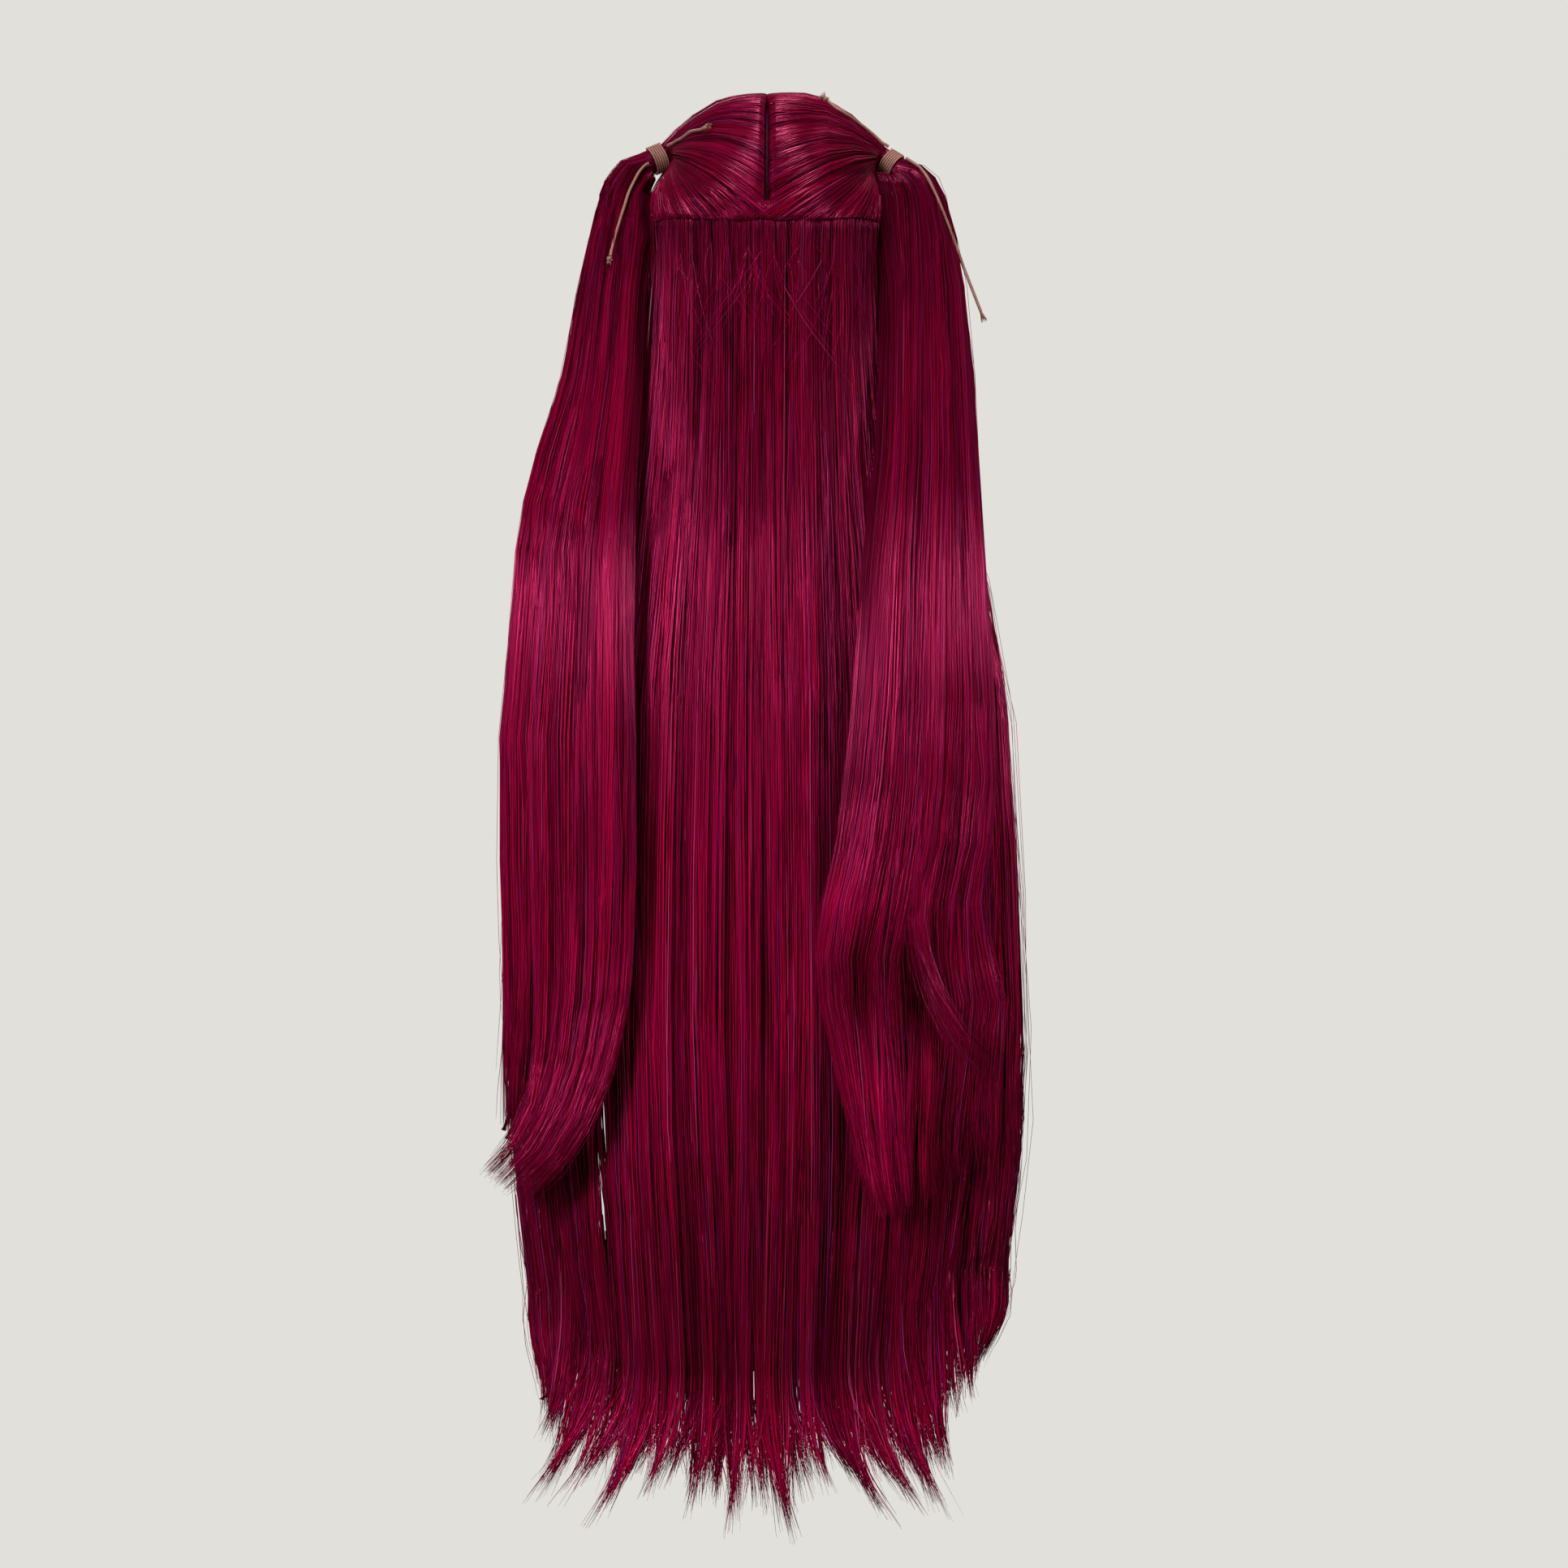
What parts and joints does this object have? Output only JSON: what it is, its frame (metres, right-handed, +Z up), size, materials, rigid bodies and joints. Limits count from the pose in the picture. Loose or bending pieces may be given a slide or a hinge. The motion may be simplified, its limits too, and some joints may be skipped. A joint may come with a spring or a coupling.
{
  "type": "cosplay wig",
  "caption": "Long straight wig with a centre parting, its upper hair gathered into a tail on each side by wound cord, on a hollow cap open below for the head.",
  "frame": {"origin": "the top of the head, where the inside of the cap rests", "axes": "+Z up, +Y the way the wearer faces, +X the wearer's right"},
  "size_m": [0.3716, 0.2444, 0.9943],
  "materials": {
    "hair": "glossy synthetic fibre, magenta",
    "cap": "dark sewn net and wefts",
    "cord": "matte braided cord, dusty tan"
  },
  "bodies": {
    "root": {"wig_cap": "cap", "parting_weft": "cap", "loose_hair": "hair", "crown_left": "hair", "crown_right": "hair", "tail_left": "hair", "tail_right": "hair", "tie_left": "cord", "tie_right": "cord", "cord_left_up": "cord", "cord_left_down": "cord", "cord_right_up": "cord", "cord_right_down": "cord", "knot_left_up": "cord", "knot_left_down": "cord", "knot_right_up": "cord", "knot_right_down": "cord"}
  },
  "joints": []
}
